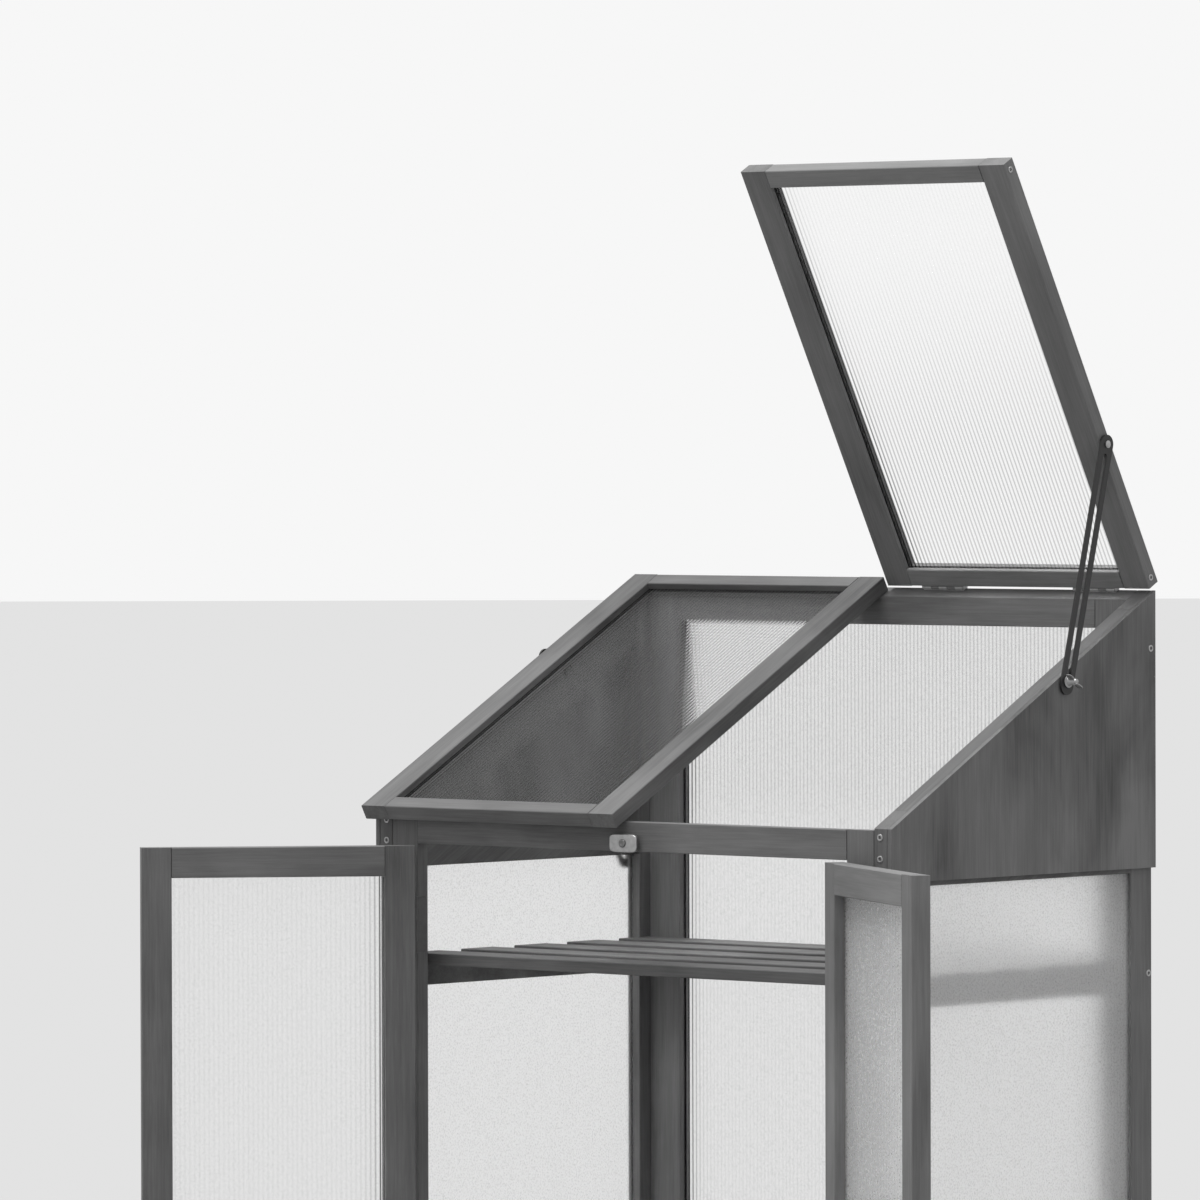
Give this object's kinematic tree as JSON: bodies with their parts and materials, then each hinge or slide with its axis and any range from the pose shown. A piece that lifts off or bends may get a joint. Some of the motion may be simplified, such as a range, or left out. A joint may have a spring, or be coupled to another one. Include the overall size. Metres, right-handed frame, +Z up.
{
  "type": "wooden mini greenhouse",
  "caption": "Painted wooden mini greenhouse with twin-wall panels, outward doors, hinged roof lids on slotted stays, and slatted shelves for potted plants.",
  "frame": {"origin": "centre of the footprint of the whole box at floor level, with doors and right lid open as stored", "axes": "+Z up, -Y is the side with the doors, +X to the right of someone who looks at the doors"},
  "size_m": [1.094, 0.7134, 1.5479],
  "materials": {
    "front_wood": "matt slate grey stain with faint long grain",
    "side_wood": "matt slate grey stain with faint long grain",
    "lid_wood": "matt slate grey stain with faint long grain",
    "twin_wall_panel": "clear twin-wall sheet with fine parallel ribs",
    "black_steel": "satin black",
    "hinge_steel": "satin slate grey",
    "zinc_steel": "bright zinc"
  },
  "bodies": {
    "frame": {"side_left_front_stile": "side_wood", "side_left_back_stile": "side_wood", "side_left_slope_rail": "side_wood", "side_left_bottom_rail": "side_wood", "side_left_gable_plank": "side_wood", "side_left_panel": "twin_wall_panel", "side_right_front_stile": "side_wood", "side_right_back_stile": "side_wood", "side_right_slope_rail": "side_wood", "side_right_bottom_rail": "side_wood", "side_right_gable_plank": "side_wood", "side_right_panel": "twin_wall_panel", "front_post_left": "front_wood", "front_post_right": "front_wood", "front_top_rail": "front_wood", "front_bottom_rail": "front_wood", "back_stile_left": "side_wood", "back_stile_right": "side_wood", "back_top_rail": "side_wood", "back_bottom_rail": "side_wood", "back_panel": "twin_wall_panel", "upper_shelf": "front_wood", "lower_shelf": "front_wood", "turn_button_post": "zinc_steel", "door_left_hinge_lower": "hinge_steel", "door_left_hinge_upper": "hinge_steel", "lid_left_hinge_inner": "hinge_steel", "lid_left_hinge_outer": "hinge_steel", "wing_bolt_left": "zinc_steel", "door_right_hinge_lower": "hinge_steel", "door_right_hinge_upper": "hinge_steel", "lid_right_hinge_inner": "hinge_steel", "lid_right_hinge_outer": "hinge_steel", "wing_bolt_right": "zinc_steel"},
    "door_left": {"door_left_hinge_stile": "front_wood", "door_left_free_stile": "front_wood", "door_left_top_rail": "front_wood", "door_left_bottom_rail": "front_wood", "door_left_panel": "twin_wall_panel"},
    "door_right": {"door_right_hinge_stile": "front_wood", "door_right_free_stile": "front_wood", "door_right_top_rail": "front_wood", "door_right_bottom_rail": "front_wood", "door_right_panel": "twin_wall_panel"},
    "lid_left": {"lid_left_outer_stile": "lid_wood", "lid_left_inner_stile": "lid_wood", "lid_left_back_rail": "lid_wood", "lid_left_front_rail": "lid_wood", "lid_left_panel": "twin_wall_panel", "stay_left_pivot_screw": "zinc_steel"},
    "lid_right": {"lid_right_outer_stile": "lid_wood", "lid_right_inner_stile": "lid_wood", "lid_right_back_rail": "lid_wood", "lid_right_front_rail": "lid_wood", "lid_right_panel": "twin_wall_panel", "stay_right_pivot_screw": "zinc_steel"},
    "stay_left": {"stay_left_bar": "black_steel"},
    "stay_right": {"stay_right_bar": "black_steel"},
    "turn_button": {"turn_button": "zinc_steel"}
  },
  "joints": [
    {"name": "door_left_hinge", "type": "hinge", "parent": "frame", "child": "door_left", "pos_m": [-0.34576, -0.10706, 0.4415], "axis": [0, 0, 1], "range_deg": [-39, 131]},
    {"name": "door_right_hinge", "type": "hinge", "parent": "frame", "child": "door_right", "pos_m": [0.28684, -0.10706, 0.4415], "axis": [0, 0, 1], "range_deg": [-147.5, 22.5]},
    {"name": "lid_left_hinge", "type": "hinge", "parent": "frame", "child": "lid_left", "pos_m": [-0.21946, 0.34574, 1.07353], "axis": [-1, 0, 0], "range_deg": [0, 90]},
    {"name": "lid_right_hinge", "type": "hinge", "parent": "frame", "child": "lid_right", "pos_m": [0.16054, 0.34574, 1.07353], "axis": [1, 0, 0], "range_deg": [0, 90]},
    {"name": "stay_left_pivot", "type": "hinge", "parent": "lid_left", "child": "stay_left", "pos_m": [-0.41191, 0.18406, 0.98997], "axis": [-1, 0, 0], "range_deg": [-45, 0]},
    {"name": "stay_right_pivot", "type": "hinge", "parent": "lid_right", "child": "stay_right", "pos_m": [0.35299, 0.26218, 1.23521], "axis": [1, 0, 0], "range_deg": [-45, 0]},
    {"name": "turn_button_pivot", "type": "hinge", "parent": "frame", "child": "turn_button", "pos_m": [-0.02946, -0.11026, 0.7975], "axis": [0, 1, 0], "range_deg": [-90, 90]}
  ],
  "couplings": [
    {"joint": "stay_left_pivot", "follows": "lid_left_hinge", "ratio": -0.5},
    {"joint": "stay_right_pivot", "follows": "lid_right_hinge", "ratio": -0.5}
  ]
}
